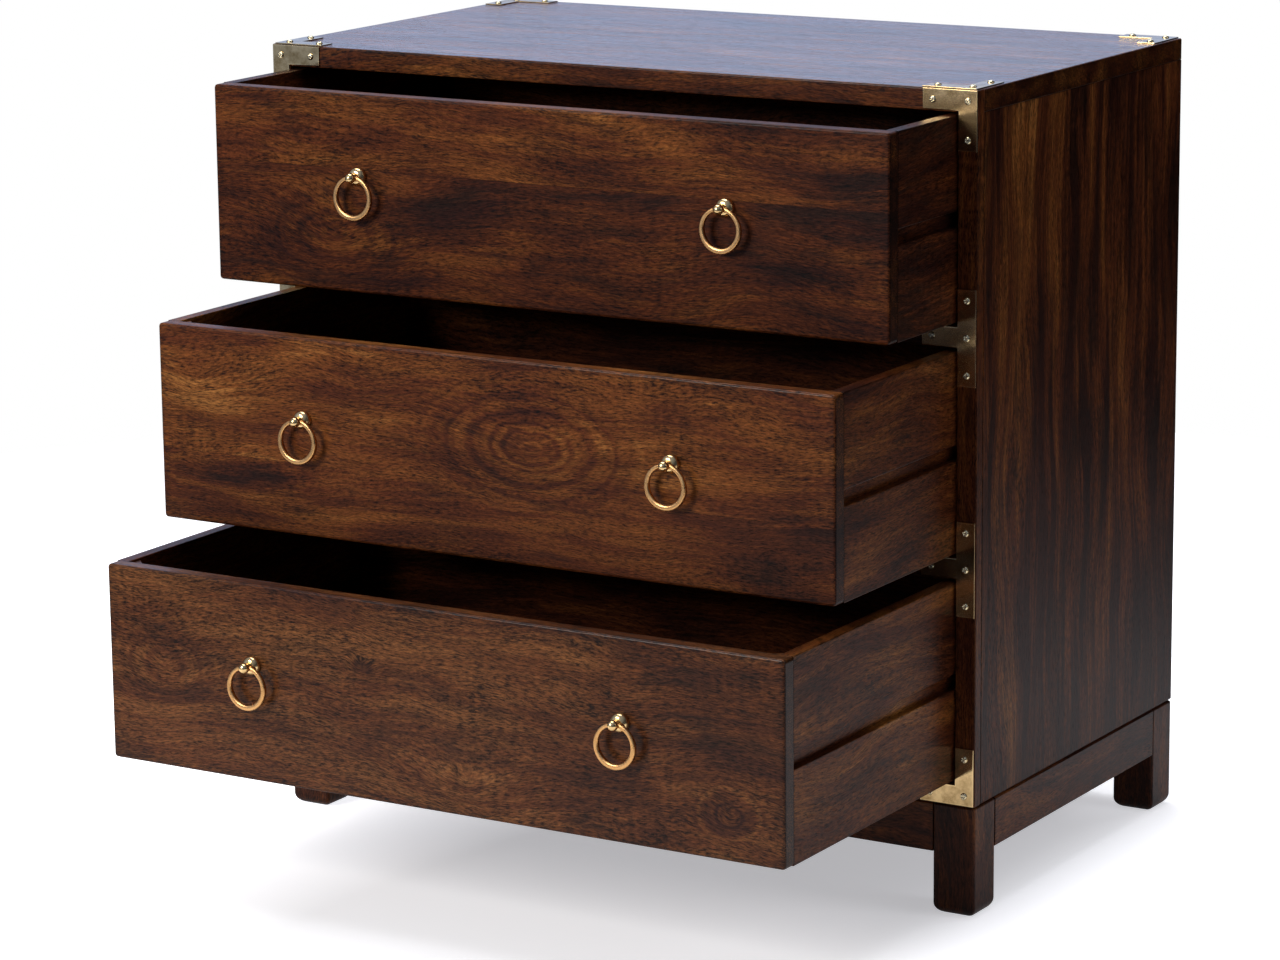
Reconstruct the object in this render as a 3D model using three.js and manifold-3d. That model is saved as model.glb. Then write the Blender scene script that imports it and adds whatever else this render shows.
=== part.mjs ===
import * as THREE from "three";
import { mergeVertices } from "three/addons/utils/BufferGeometryUtils.js";
import Module from "manifold-3d";

// Campaign chest: three inset drawers in a boarded carcass, on a low frame of four legs,
// with brass angle and tee plates on the corners and two ring pulls on each drawer.
// Millimetres, +Z up. The front faces -Y and the right side, seen from the front, is +X.
// The origin is on the floor, in the middle of the chest with its drawers as they stand.

// Overall sizes
const width = 900;
const depth = 505;
const height = 900;
const jointGap = 0.25;
const edgeRound = 2.5;

// Base: legs and the rails between them, with a groove along the line under the carcass
const baseHeight = 125;
const legSize = 50;
const footRound = 12;
const legEdgeRound = 3;
const baseRailHeight = 55;
const baseRailThickness = 20;
const grooveChamfer = 2;

// Carcass boards
const topThickness = 24;
const bottomThickness = 24;
const sideThickness = 18;
const backThickness = 9;
const stileWidth = 24;
const stileThickness = 14;
const dividerHeight = 24;
const dividerDepth = 45;

// Drawers, and how far each stands open
const topOpenLength = 148;
const middleOpenLength = 263;
const bottomOpenLength = 368;
const drawerLength = 470;
const drawerSideGap = 1.5;
const drawerHeightGap = 3.5;
const frontThickness = 18;
const frontCornerRound = 4;
const drawerSideThickness = 15;
const drawerBackThickness = 12;
const panelThickness = 6;
const panelRaise = 12;
const panelTongue = 5;
const panelSlack = 0.3;
const glueBlockLeg = 21;

// Wooden runners and the grooves that ride on them
const runnerGrooveHeight = 17;
const runnerGrooveDepth = 8;
const runnerHeight = 15;
const runnerSeatGap = 0.3;
const runnerTipGap = 1;
const runnerFrontGap = 2;

// Brass plates and the round heads of their screws
const plateThickness = 1.2;
const plateWidth = 22;
const plateInset = 1;
const topPlateInset = 3;
const angleArm = 64;
const teeHalf = 52;
const screwFromEnd = 12;
const screwHeadRadius = 3.5;
const screwHeadHeight = 2.2;
const screwHeadSides = 8;
const screwHeadShares = [
  [1, 0.35],
  [0.78, 0.82],
];

// Ring pulls: a domed rose, a neck with a cross hole, a ball nose, and a shank with a nut inside
const pullFromMiddle = 232;
const pullDrop = 90;
const roseRadius = 10.8;
const roseHeight = 8.2;
const neckRadius = 4.8;
const noseRadius = 5.8;
const noseFromFront = 15.5;
const crossHoleFromFront = 11.8;
const crossHoleRadius = 3.3;
const shankRadius = 2.5;
const shankHoleGap = 0.3;
const nutRadius = 5;
const nutThickness = 2.5;
const ringOuterRadius = 25;
const ringTopWireRadius = 2.2;
const ringFootWireRadius = 3.2;

// How finely round shapes are cut into flats, and how far a cutter passes the face that it cuts
const edgeSteps = 2;
const footSteps = 3;
const postSides = 16;
const domeSteps = 4;
const noseSteps = 5;
const ringWireSides = 8;
const ringSteps = 30;
const cutOverrun = 1;
const mergeReach = 0.0001;

// The drawers from the top down
const drawers = [
  { name: "top", open: topOpenLength },
  { name: "middle", open: middleOpenLength },
  { name: "bottom", open: bottomOpenLength },
];

// Places worked out from the sizes
const halfWidth = width / 2;
const carcassBottom = baseHeight + jointGap;
const topUnderside = height - topThickness;
const bottomSurface = carcassBottom + bottomThickness;
const sideInnerFace = halfWidth - sideThickness;
const stileInnerFace = halfWidth - stileWidth;
const backPanelFront = depth - backThickness;
const openingHeight =
  (topUnderside - bottomSurface - (drawers.length - 1) * dividerHeight) / drawers.length;
const drawerHeight = openingHeight - 2 * drawerHeightGap;
const drawerHalfWidth = stileInnerFace - drawerSideGap;
const drawerInnerFace = drawerHalfWidth - drawerSideThickness;
const grooveTop = (drawerHeight + runnerGrooveHeight) / 2;
const panelTop = panelRaise + panelThickness;
const plateBack = jointGap;
const plateFace = jointGap + plateThickness;
const openingBottom = (row) => topUnderside - (row + 1) * openingHeight - row * dividerHeight;
const drawerBottom = (row) => openingBottom(row) + drawerHeightGap;

// Materials, with the finish of each
const finish = (color, roughness, metalness) =>
  new THREE.MeshStandardMaterial({ color, roughness, metalness });
const walnutFinish = finish(0x5a3a24, 0.5, 0);
const drawerBoxFinish = finish(0x4b3124, 0.6, 0);
const plateFinish = finish(0xa48a55, 0.42, 1);
const pullFinish = finish(0xc9a25b, 0.22, 1);

// Solid helpers: a closed geometry as a solid, and back again
const wasm = await Module();
wasm.setup();

function solid(geometry) {
  const bare = geometry.clone();
  bare.deleteAttribute("normal");
  bare.deleteAttribute("uv");
  const merged = mergeVertices(bare, mergeReach);
  return new wasm.Manifold(
    new wasm.Mesh({
      numProp: 3,
      vertProperties: merged.attributes.position.array,
      triVerts: new Uint32Array(merged.index.array),
    }),
  );
}

function geometryOf(body) {
  const mesh = body.getMesh();
  const geometry = new THREE.BufferGeometry();
  geometry.setAttribute("position", new THREE.BufferAttribute(mesh.vertProperties, 3));
  geometry.setIndex(new THREE.BufferAttribute(mesh.triVerts, 1));
  geometry.computeVertexNormals();
  return geometry;
}

const root = new THREE.Group();

function addPiece(group, name, geometry, material) {
  const mesh = new THREE.Mesh(geometry, material);
  mesh.name = name;
  group.add(mesh);
  return mesh;
}

// A block between two corners, given as a low and a high value along each direction
function block(x, y, z) {
  const geometry = new THREE.BoxGeometry(
    Math.abs(x[1] - x[0]),
    Math.abs(y[1] - y[0]),
    Math.abs(z[1] - z[0]),
  );
  return geometry.translate((x[0] + x[1]) / 2, (y[0] + y[1]) / 2, (z[0] + z[1]) / 2);
}

// An outline pushed along an axis from low to high, with its end edges rounded by edge.
// The outline's points are (y, z) for axis x, (x, z) for axis y and (x, y) for axis z.
const unit = {
  x: new THREE.Vector3(1, 0, 0),
  y: new THREE.Vector3(0, 1, 0),
  z: new THREE.Vector3(0, 0, 1),
};
const outlineBasis = {
  x: new THREE.Matrix4().makeBasis(unit.y, unit.z, unit.x),
  y: new THREE.Matrix4().makeBasis(unit.x, unit.z, unit.y.clone().negate()),
  z: new THREE.Matrix4(),
};

function prism(points, axis, low, high, edge = 0) {
  const shape = new THREE.Shape(points.map(([a, b]) => new THREE.Vector2(a, b)));
  const geometry = new THREE.ExtrudeGeometry(shape, {
    depth: high - low - 2 * edge,
    bevelEnabled: edge > 0,
    bevelThickness: edge,
    bevelSize: edge,
    bevelOffset: -edge,
    bevelSegments: edgeSteps,
  });
  geometry.translate(0, 0, edge);
  geometry.applyMatrix4(outlineBasis[axis]);
  const start = unit[axis].clone().multiplyScalar(axis === "y" ? high : low);
  return geometry.translate(start.x, start.y, start.z);
}

// Points of a quarter round from one angle to the next, in quarter turns
function quarterRound(centre, radius, quarter, steps) {
  return Array.from({ length: steps + 1 }, (_, i) => {
    const angle = ((quarter + i / steps) * Math.PI) / 2;
    return [centre[0] + radius * Math.cos(angle), centre[1] + radius * Math.sin(angle)];
  });
}

function roundedRectangle(x0, x1, y0, y1, radius, steps) {
  return [
    ...quarterRound([x1 - radius, y1 - radius], radius, 0, steps),
    ...quarterRound([x0 + radius, y1 - radius], radius, 1, steps),
    ...quarterRound([x0 + radius, y0 + radius], radius, 2, steps),
    ...quarterRound([x1 - radius, y0 + radius], radius, 3, steps),
  ];
}

const mirrored = (points, side) => points.map(([a, b]) => [side * a, b]);

// Base
// A leg's outline seen from one side: rounded at the foot, and chamfered at its outer top edge
function legProfile(inner, outer) {
  const out = Math.sign(outer - inner);
  const middle = (inner + outer) / 2;
  const half = legSize / 2;
  const foot = [
    ...quarterRound([footRound - half, footRound], footRound, 2, footSteps),
    ...quarterRound([half - footRound, footRound], footRound, 3, footSteps),
  ];
  return [
    ...foot.map(([a, b]) => [middle + out * a, b]),
    [outer, baseHeight - grooveChamfer],
    [outer - out * grooveChamfer, baseHeight],
    [inner, baseHeight],
  ];
}

function leg(side, front) {
  const x = [side * (halfWidth - legSize), side * halfWidth];
  const y = front ? [legSize, 0] : [depth - legSize, depth];
  const [xLow, xHigh, yLow, yHigh] = [Math.min(...x), Math.max(...x), Math.min(...y), Math.max(...y)];
  const plan = roundedRectangle(xLow, xHigh, yLow, yHigh, legEdgeRound, edgeSteps);
  const post = prism(plan, "z", 0, baseHeight);
  const acrossFront = prism(legProfile(...x), "y", yLow, yHigh);
  const acrossSide = prism(legProfile(...y), "x", xLow, xHigh);
  return geometryOf(solid(post).intersect(solid(acrossFront)).intersect(solid(acrossSide)));
}

// A base rail's section, with its outer face at outer and its outer top edge chamfered
function baseRailSection(outer, inward) {
  const inner = outer + inward * baseRailThickness;
  const bottom = baseHeight - baseRailHeight;
  return [
    [outer, bottom],
    [inner, bottom],
    [inner, baseHeight],
    [outer + inward * grooveChamfer, baseHeight],
    [outer, baseHeight - grooveChamfer],
  ];
}

function addBase(group) {
  for (const [place, front] of [["front", true], ["back", false]]) {
    addPiece(group, `${place}_left_leg`, leg(-1, front), walnutFinish);
    addPiece(group, `${place}_right_leg`, leg(1, front), walnutFinish);
  }
  const acrossEnd = halfWidth - legSize - jointGap;
  const alongEnds = [legSize + jointGap, depth - legSize - jointGap];
  const front = prism(baseRailSection(0, 1), "x", -acrossEnd, acrossEnd);
  const back = prism(baseRailSection(depth, -1), "x", -acrossEnd, acrossEnd);
  addPiece(group, "front_base_rail", front, walnutFinish);
  addPiece(group, "back_base_rail", back, walnutFinish);
  for (const [place, side] of [["left", -1], ["right", 1]]) {
    const section = baseRailSection(side * halfWidth, -side);
    addPiece(group, `${place}_base_rail`, prism(section, "y", ...alongEnds), walnutFinish);
  }
}

// Carcass
// The top board, notched at the front for the stiles that run up to its surface
function topBoard() {
  const notchSide = stileInnerFace - jointGap;
  const notchBack = stileThickness + jointGap;
  const right = [
    [notchSide, 0],
    [notchSide, notchBack],
    [halfWidth, notchBack],
    [halfWidth, depth],
  ];
  const outline = [...right, ...mirrored(right, -1).reverse()];
  const rounded = solid(prism(outline, "z", topUnderside - 2 * edgeRound, height, edgeRound));
  const x = [-halfWidth - cutOverrun, halfWidth + cutOverrun];
  const y = [-cutOverrun, depth + cutOverrun];
  const below = block(x, y, [topUnderside - 2 * edgeRound - cutOverrun, topUnderside]);
  return geometryOf(rounded.subtract(solid(below)));
}

// The bottom board, narrower between the stiles, with its front lower edge chamfered
function bottomBoard() {
  const right = [
    [stileInnerFace - jointGap, 0],
    [stileInnerFace - jointGap, stileThickness + jointGap],
    [sideInnerFace - jointGap, stileThickness + jointGap],
    [sideInnerFace - jointGap, backPanelFront - jointGap],
  ];
  const outline = [...right, ...mirrored(right, -1).reverse()];
  const board = solid(prism(outline, "z", carcassBottom, bottomSurface));
  const section = [
    [grooveChamfer, carcassBottom],
    [depth, carcassBottom],
    [depth, bottomSurface],
    [0, bottomSurface],
    [0, carcassBottom + grooveChamfer],
  ];
  return geometryOf(board.intersect(solid(prism(section, "x", -halfWidth, halfWidth))));
}

// An outline seen from the front, chamfered at its outer bottom corner
function chamferedFoot(inner, outer, top) {
  const out = Math.sign(outer);
  return [
    [inner, carcassBottom],
    [outer - out * grooveChamfer, carcassBottom],
    [outer, carcassBottom + grooveChamfer],
    [outer, top],
    [inner, top],
  ];
}

function stile(side) {
  const inner = side * stileInnerFace;
  const corner = quarterRound([halfWidth - edgeRound, edgeRound], edgeRound, 3, edgeSteps);
  const plan = [
    [stileInnerFace, stileThickness],
    [stileInnerFace, 0],
    ...corner,
    [halfWidth, stileThickness],
  ];
  const post = solid(prism(mirrored(plan, side), "z", carcassBottom, height));
  const seenFromFront = prism(chamferedFoot(inner, side * halfWidth, height), "y", 0, stileThickness);
  return geometryOf(post.intersect(solid(seenFromFront)));
}

function sidePanel(side) {
  const outline = chamferedFoot(side * sideInnerFace, side * halfWidth, topUnderside - jointGap);
  return prism(outline, "y", stileThickness + jointGap, depth);
}

function addCarcass(group) {
  addPiece(group, "top_board", topBoard(), walnutFinish);
  addPiece(group, "bottom_board", bottomBoard(), walnutFinish);
  for (const [place, side] of [["left", -1], ["right", 1]]) {
    addPiece(group, `${place}_side_panel`, sidePanel(side), walnutFinish);
    addPiece(group, `${place}_stile`, stile(side), walnutFinish);
  }
  const backEdge = sideInnerFace - jointGap;
  const backRise = [carcassBottom, topUnderside - jointGap];
  const back = block([-backEdge, backEdge], [backPanelFront, depth], backRise);
  addPiece(group, "back_panel", back, walnutFinish);
  const dividerEnd = stileInnerFace - jointGap;
  for (const [row, name] of ["upper", "lower"].entries()) {
    const top = openingBottom(row);
    const rail = block([-dividerEnd, dividerEnd], [0, dividerDepth], [top - dividerHeight, top]);
    addPiece(group, `${name}_divider`, rail, walnutFinish);
  }
}

// A runner on each side panel for each drawer, just under the roof of the drawer's groove
function addRunners(group) {
  const tip = drawerHalfWidth - runnerGrooveDepth + runnerTipGap;
  const along = [frontThickness + runnerFrontGap, backPanelFront - jointGap];
  for (const [row, drawer] of drawers.entries()) {
    const top = drawerBottom(row) + grooveTop - runnerSeatGap;
    for (const [place, side] of [["left", -1], ["right", 1]]) {
      const across = [side * tip, side * (sideInnerFace - jointGap)];
      const runner = block(across, along, [top - runnerHeight, top]);
      addPiece(group, `${drawer.name}_${place}_runner`, runner, walnutFinish);
    }
  }
}

// Brass plates
// A screw head that stands on a plate: a low dome whose foot is sunk half into the plate
function screwHead(turn) {
  const foot = -plateThickness / 2;
  const profile = [
    [0, foot],
    [screwHeadRadius, foot],
    ...screwHeadShares.map(([r, h]) => [r * screwHeadRadius, h * screwHeadHeight]),
    [0, screwHeadHeight],
  ];
  const points = profile.map(([r, h]) => new THREE.Vector2(r, h));
  return new THREE.LatheGeometry(points, screwHeadSides).rotateX(turn);
}

const frontHead = screwHead(Math.PI);
const topHead = screwHead(Math.PI / 2);

// A plate and its screw heads as one solid
function plateWithHeads(plate, head, places) {
  return places.reduce(
    (body, [x, y, z]) => body.add(solid(head.clone().translate(x, y, z))),
    solid(plate),
  );
}

// An angle's outline with its outer corner at a point and its arms running in two directions
function angleOutline(corner, along, up, extra = 0) {
  const [x, y] = corner;
  return [
    [x, y - up * extra],
    [x + along * angleArm, y - up * extra],
    [x + along * angleArm, y + up * plateWidth],
    [x + along * plateWidth, y + up * plateWidth],
    [x + along * plateWidth, y + up * angleArm],
    [x, y + up * angleArm],
  ];
}

function angleScrews(corner, along, up) {
  const near = plateWidth / 2;
  const far = angleArm - screwFromEnd;
  const [x, y] = corner;
  return [
    [x + along * near, y + up * near],
    [x + along * far, y + up * near],
    [x + along * near, y + up * far],
  ];
}

const onFront = ([x, z]) => [x, -plateFace, z];
const onTop = ([x, y]) => [x, y, height + plateFace];

// An angle plate on the front, with its corner at the bottom or top of a stile
function frontAngle(side, edgeHeight, up, rise = 0) {
  const corner = [side * (halfWidth - plateInset), edgeHeight + up * plateInset];
  const plate = prism(angleOutline(corner, -side, up, rise), "y", -plateFace, -plateBack);
  return plateWithHeads(plate, frontHead, angleScrews(corner, -side, up).map(onFront));
}

// An angle plate on the top board, with its corner at the front or the back
function topAngle(side, edge, inward, reach = 0) {
  const corner = [side * (halfWidth - topPlateInset), edge + inward * topPlateInset];
  const outline = angleOutline(corner, -side, inward, reach);
  const plate = prism(outline, "z", height + plateBack, height + plateFace);
  return plateWithHeads(plate, topHead, angleScrews(corner, -side, inward).map(onTop));
}

// A tee plate: an upright on the stile and an arm on the divider
function teePlate(side, centre) {
  const outer = side * (halfWidth - plateInset);
  const inner = outer - side * plateWidth;
  const armEnd = outer - side * angleArm;
  const armTop = centre + plateWidth / 2;
  const armBottom = centre - plateWidth / 2;
  const outline = [
    [outer, centre - teeHalf],
    [outer, centre + teeHalf],
    [inner, centre + teeHalf],
    [inner, armTop],
    [armEnd, armTop],
    [armEnd, armBottom],
    [inner, armBottom],
    [inner, centre - teeHalf],
  ];
  const line = outer - (side * plateWidth) / 2;
  const screwRise = teeHalf - screwFromEnd;
  const screws = [
    [line, centre + screwRise],
    [line, centre],
    [line, centre - screwRise],
    [armEnd + side * screwFromEnd, centre],
  ];
  return plateWithHeads(prism(outline, "y", -plateFace, -plateBack), frontHead, screws.map(onFront));
}

function addPlates(group) {
  for (const [place, side] of [["left", -1], ["right", 1]]) {
    const front = frontAngle(side, height, -1, plateInset + plateFace);
    const wrapped = front.add(topAngle(side, 0, 1, topPlateInset + plateFace));
    addPiece(group, `front_${place}_corner_plate`, geometryOf(wrapped), plateFinish);
    const back = topAngle(side, depth, -1);
    addPiece(group, `back_${place}_top_plate`, geometryOf(back), plateFinish);
    for (const [row, name] of ["upper", "lower"].entries()) {
      const tee = teePlate(side, openingBottom(row) - dividerHeight / 2);
      addPiece(group, `${place}_${name}_tee_plate`, geometryOf(tee), plateFinish);
    }
    const bottom = frontAngle(side, carcassBottom, 1);
    addPiece(group, `${place}_bottom_plate`, geometryOf(bottom), plateFinish);
  }
}

// Drawers, each in its own group with the front's face at y = 0 and its lower edge at z = 0
const pullHeight = drawerHeight - pullDrop;

// The front: rounded towards the room, grooved for the bottom panel, drilled for the pulls,
// with a three-cornered glue block standing in each corner
function drawerFront() {
  const outline = roundedRectangle(
    -drawerHalfWidth,
    drawerHalfWidth,
    0,
    drawerHeight,
    frontCornerRound,
    edgeSteps,
  );
  const slab = solid(prism(outline, "y", 0, frontThickness + 2 * edgeRound, edgeRound));
  const wide = drawerHalfWidth + cutOverrun;
  const behind = frontThickness + 2 * edgeRound + cutOverrun;
  const upright = [-cutOverrun, drawerHeight + cutOverrun];
  let front = slab.subtract(solid(block([-wide, wide], [frontThickness, behind], upright)));
  const grooveEnd = drawerInnerFace + panelTongue + panelSlack;
  const grooveFloor = frontThickness - panelTongue - panelSlack;
  const grooveHeights = [panelRaise - panelSlack, panelTop + panelSlack];
  const grooveDepths = [grooveFloor, frontThickness + cutOverrun];
  const groove = block([-grooveEnd, grooveEnd], grooveDepths, grooveHeights);
  front = front.subtract(solid(groove));
  const drill = new THREE.CylinderGeometry(
    shankRadius + shankHoleGap,
    shankRadius + shankHoleGap,
    frontThickness + 2 * cutOverrun,
    postSides,
  );
  drill.translate(0, frontThickness / 2, pullHeight);
  for (const side of [-1, 1]) {
    front = front.subtract(solid(drill.clone().translate(side * pullFromMiddle, 0, 0)));
    const corner = drawerInnerFace - jointGap;
    const triangle = [
      [corner, frontThickness - cutOverrun],
      [corner, frontThickness + glueBlockLeg],
      [corner - glueBlockLeg, frontThickness],
      [corner - glueBlockLeg, frontThickness - cutOverrun],
    ];
    const blockBottom = panelTop + panelSlack;
    const glueBlock = prism(mirrored(triangle, side), "z", blockBottom, drawerHeight - edgeRound);
    front = front.add(solid(glueBlock));
  }
  return geometryOf(front);
}

// A side, with the runner's groove outside and the bottom panel's groove inside
function drawerSide(side) {
  const grooveFloor = drawerHalfWidth - runnerGrooveDepth;
  const panelEdge = drawerInnerFace + panelTongue + panelSlack;
  const section = [
    [drawerInnerFace, 0],
    [drawerHalfWidth, 0],
    [drawerHalfWidth, grooveTop - runnerGrooveHeight],
    [grooveFloor, grooveTop - runnerGrooveHeight],
    [grooveFloor, grooveTop],
    [drawerHalfWidth, grooveTop],
    [drawerHalfWidth, drawerHeight],
    [drawerInnerFace, drawerHeight],
    [drawerInnerFace, panelTop + panelSlack],
    [panelEdge, panelTop + panelSlack],
    [panelEdge, panelRaise - panelSlack],
    [drawerInnerFace, panelRaise - panelSlack],
  ];
  return prism(mirrored(section, side), "y", frontThickness + jointGap, drawerLength);
}

// A pull's post, turned about the line that runs straight into the drawer front.
// Its profile runs from the nut inside the drawer to the tip of the ball nose.
function pullPost() {
  const seat = -jointGap;
  const nutFace = frontThickness + jointGap;
  const domeTurn = Math.acos(neckRadius / roseRadius);
  const dome = Array.from({ length: domeSteps + 1 }, (_, i) => {
    const angle = (domeTurn * i) / domeSteps;
    return [roseRadius * Math.cos(angle), seat - roseHeight * Math.sin(angle)];
  });
  const noseTurn = Math.PI - Math.asin(neckRadius / noseRadius);
  const nose = Array.from({ length: noseSteps }, (_, i) => {
    const angle = noseTurn * (1 - i / noseSteps);
    return [noseRadius * Math.sin(angle), -noseFromFront - noseRadius * Math.cos(angle)];
  });
  const profile = [
    [0, nutFace + nutThickness],
    [nutRadius, nutFace + nutThickness],
    [nutRadius, nutFace],
    [shankRadius, nutFace],
    [shankRadius, seat],
    ...dome,
    ...nose,
    [0, -noseFromFront - noseRadius],
  ];
  const points = profile.reverse().map(([r, y]) => new THREE.Vector2(r, y));
  const post = solid(new THREE.LatheGeometry(points, postSides));
  const hole = new THREE.CylinderGeometry(crossHoleRadius, crossHoleRadius, 2 * roseRadius, postSides);
  hole.rotateZ(Math.PI / 2).translate(0, -crossHoleFromFront, 0);
  return geometryOf(post.subtract(solid(hole)));
}

// A ring whose outer edge is a true circle, and whose wire grows from its top to its foot.
// It hangs with the middle of its top wire on the line of the cross hole.
function pullRing() {
  const ring = new THREE.TorusGeometry(ringOuterRadius, ringFootWireRadius, ringWireSides, ringSteps);
  const points = ring.attributes.position;
  const point = new THREE.Vector3();
  const radial = new THREE.Vector3();
  for (let i = 0; i < points.count; i += 1) {
    point.fromBufferAttribute(points, i);
    radial.set(point.x, point.y, 0).normalize();
    const footShare = (1 - radial.y) / 2;
    const wire = THREE.MathUtils.lerp(ringTopWireRadius, ringFootWireRadius, footShare);
    const offset = point.addScaledVector(radial, -ringOuterRadius).divideScalar(ringFootWireRadius);
    offset.multiplyScalar(wire).addScaledVector(radial, ringOuterRadius - wire);
    points.setXYZ(i, offset.x, offset.y, offset.z);
  }
  ring.rotateX(Math.PI / 2);
  return ring.translate(0, -crossHoleFromFront, ringTopWireRadius - ringOuterRadius);
}

function addDrawer(name, open, bottom) {
  const group = new THREE.Group();
  group.position.set(0, -open, bottom);
  root.add(group);
  addPiece(group, `${name}_drawer_front`, drawerFront(), walnutFinish);
  const panelEdge = drawerInnerFace + panelTongue;
  const panelReach = [frontThickness - panelTongue, drawerLength];
  const panel = block([-panelEdge, panelEdge], panelReach, [panelRaise, panelTop]);
  addPiece(group, `${name}_drawer_bottom`, panel, drawerBoxFinish);
  const backEdge = drawerInnerFace - jointGap;
  const back = block(
    [-backEdge, backEdge],
    [drawerLength - drawerBackThickness, drawerLength],
    [panelTop + jointGap, drawerHeight],
  );
  addPiece(group, `${name}_drawer_back`, back, drawerBoxFinish);
  for (const [place, side] of [["left", -1], ["right", 1]]) {
    addPiece(group, `${name}_drawer_${place}_side`, drawerSide(side), drawerBoxFinish);
    const pull = new THREE.Group();
    pull.position.set(side * pullFromMiddle, 0, pullHeight);
    group.add(pull);
    addPiece(pull, `${name}_${place}_pull_post`, pullPost(), pullFinish);
    addPiece(pull, `${name}_${place}_pull_ring`, pullRing(), pullFinish);
  }
}

// The whole chest, moved so that the origin is under the middle of everything
addBase(root);
addCarcass(root);
addRunners(root);
addPlates(root);
for (const [row, drawer] of drawers.entries()) addDrawer(drawer.name, drawer.open, drawerBottom(row));
const furthestOut = Math.max(...drawers.map((drawer) => drawer.open)) + noseFromFront + noseRadius;
root.position.y = (furthestOut - depth) / 2;

export default root;
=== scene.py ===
"""Dresses the campaign chest: rounded boards of dark-stained hardwood, aged brass plates with their
screws, and polished brass ring pulls, on a pale studio floor."""

import math
from functools import partial

import bmesh
import bpy
import numpy as np
from bpy.props import FloatProperty, FloatVectorProperty, PointerProperty
from bpy.types import Operator, Panel, PropertyGroup
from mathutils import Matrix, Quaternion, Vector


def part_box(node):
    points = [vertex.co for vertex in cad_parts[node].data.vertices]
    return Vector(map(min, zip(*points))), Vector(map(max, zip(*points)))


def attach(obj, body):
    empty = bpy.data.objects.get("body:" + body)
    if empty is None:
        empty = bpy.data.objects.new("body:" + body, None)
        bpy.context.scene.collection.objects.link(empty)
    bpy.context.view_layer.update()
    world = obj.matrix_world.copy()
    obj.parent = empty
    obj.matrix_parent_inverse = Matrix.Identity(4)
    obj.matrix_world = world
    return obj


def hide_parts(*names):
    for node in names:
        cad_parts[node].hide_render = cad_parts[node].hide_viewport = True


bl_info = {
    "name": "Campaign Chest Dressing",
    "version": (1, 0, 0),
    "blender": (4, 5, 0),
    "location": "3D View > Sidebar > Chest",
    "description": "Boards, brass plates and ring pulls of a campaign chest of drawers",
    "category": "Object",
}

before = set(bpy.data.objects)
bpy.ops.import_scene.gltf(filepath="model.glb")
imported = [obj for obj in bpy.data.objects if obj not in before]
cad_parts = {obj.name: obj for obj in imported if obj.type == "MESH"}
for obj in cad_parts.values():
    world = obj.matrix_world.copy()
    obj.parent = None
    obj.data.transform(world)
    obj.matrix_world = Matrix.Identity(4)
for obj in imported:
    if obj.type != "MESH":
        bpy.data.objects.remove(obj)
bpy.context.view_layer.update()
MM = 0.001
GAP = 0.25  # millimetres between two pieces that are joined
PLAY = 0.3  # millimetres between two that slide
ARC = 3  # steps in the rounding of an edge
NEAR = 0.8 * MM  # from a rounded edge to the first points of the flat face beside it
DRAWERS = ("top", "middle", "bottom")
SIDES = (("left", -1.0), ("right", 1.0))


def linear(code):
    """An sRGB hex colour as linear RGBA: v / 12.92 up to 0.04045, and ((v + 0.055) / 1.055) ** 2.4 above."""
    values = [int(code[i:i + 2], 16) / 255 for i in (1, 3, 5)]
    return [v / 12.92 if v <= 0.04045 else ((v + 0.055) / 1.055) ** 2.4 for v in values] + [1.0]


# Settings

def length_setting(name, text, millimetres):
    return FloatProperty(name=name, description=text, default=millimetres * MM, min=0.0, unit="LENGTH")


def colour_setting(name, text, code):
    return FloatVectorProperty(name=name, description=text, default=linear(code)[:3], size=3,
                               min=0.0, max=1.0, subtype="COLOR")


def power_setting(name, text, watts):
    return FloatProperty(name=name, description=text, default=watts, min=0.0, unit="POWER")


class ChestSizes(PropertyGroup):
    board_edge: length_setting("Board edge", "Rounding of the carcass boards' edges", 1.2)
    front_edge: length_setting("Drawer front edge", "Rounding of a drawer front's outer edges", 2.5)
    front_corner: length_setting("Drawer front corner", "Rounding of a drawer front's four corners", 4.0)
    base_groove: length_setting("Base groove", "Chamfer on each side of the line over the base", 2.0)
    foot_round: length_setting("Foot rounding", "Rounding of the legs where they meet the floor", 12.0)
    plate_thickness: length_setting("Plate thickness", "Thickness of the brass plates", 1.2)
    screw_height: length_setting("Screw height", "Height of a screw head over its plate", 2.1)
    ring_top_wire: length_setting("Ring wire at the top", "Radius of the ring's wire inside the post", 2.2)
    ring_foot_wire: length_setting("Ring wire at the foot", "Radius of the ring's wire at its foot", 3.2)


class ChestColours(PropertyGroup):
    heartwood: colour_setting("Heartwood", "Darkest red-brown of the stained wood", "#28110a")
    body_wood: colour_setting("Body wood", "Main colour of the stained wood", "#47220f")
    light_wood: colour_setting("Light wood", "Lighter golden brown of the stained wood", "#613717")
    gold_wood: colour_setting("Gold wood", "Lightest golden clouds of the stained wood", "#84562a")
    dull_wood: colour_setting("Dull wood", "Main colour of the duller bottom front", "#462511")
    dull_light: colour_setting("Dull light wood", "Lighter brown of the duller bottom front", "#5f3b1e")
    dusty_wood: colour_setting("Dusty wood", "Lightest clouds of the duller bottom front", "#6e4f3a")
    stain: colour_setting("Stain", "Black-brown stain that gathers in smudges and on edges", "#1b100a")
    aged_brass: colour_setting("Aged brass", "Sheet brass of the plates", "#d2b483")
    tarnish: colour_setting("Tarnish", "Dull film on the plates", "#8a6f45")
    polished_brass: colour_setting("Polished brass", "Turned brass of the pulls' posts", "#e3c088")
    ring_brass: colour_setting("Ring brass", "Satin brass of the pulls' rings", "#d3a168")
    screw_brass: colour_setting("Screw brass", "Paler brass of the screws", "#d6c8a4")


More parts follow.
